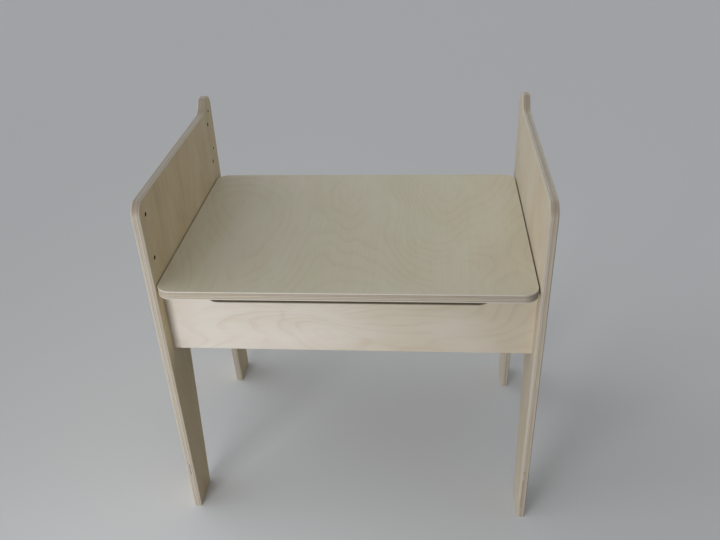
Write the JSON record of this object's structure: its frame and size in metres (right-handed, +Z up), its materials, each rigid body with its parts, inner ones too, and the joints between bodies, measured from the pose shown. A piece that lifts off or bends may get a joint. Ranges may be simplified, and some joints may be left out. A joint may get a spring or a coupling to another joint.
{
  "type": "child's lift-lid desk",
  "caption": "Low plywood desk for a child: slanted-leg side panels carry a shallow storage box, whose hinged lid is the desk top.",
  "frame": {"origin": "on the floor, under the middle of the desk's outline seen from above, bolt heads and lid included", "axes": "+Z up, the front with the finger slot faces -Y, +X runs from the left side panel to the right one"},
  "size_m": [0.654, 0.484, 0.683],
  "materials": {
    "birch_plywood": "sanded, clear matt lacquer",
    "beech": "plain turned beech",
    "zinc_plated_steel": "bright zinc plate",
    "bright_steel": "turned bright steel"
  },
  "bodies": {
    "carcass": {"side_panel_left": "birch_plywood", "side_panel_right": "birch_plywood", "front_board": "birch_plywood", "back_board": "birch_plywood", "bottom_panel": "birch_plywood", "hinge_leaf_fixed_left": "zinc_plated_steel", "hinge_leaf_fixed_right": "zinc_plated_steel", "hinge_pin_left": "bright_steel", "hinge_pin_right": "bright_steel", "hinge_screws_back_board": "zinc_plated_steel", "connector_bolts_left": "zinc_plated_steel", "connector_bolts_right": "zinc_plated_steel", "barrel_nuts_front_board": "bright_steel", "barrel_nuts_back_board": "bright_steel", "dowels_front_board": "beech", "dowels_back_board": "beech"},
    "lid_with_leaves": {"lid": "birch_plywood", "hinge_leaf_moving_left": "zinc_plated_steel", "hinge_leaf_moving_right": "zinc_plated_steel", "hinge_screws_lid": "zinc_plated_steel"}
  },
  "joints": [
    {"name": "lid_hinge", "type": "hinge", "parent": "carcass", "child": "lid_with_leaves", "pos_m": [0, 0.2242, 0.4962], "axis": [-1, 0, 0], "range_deg": [0, 95]}
  ]
}
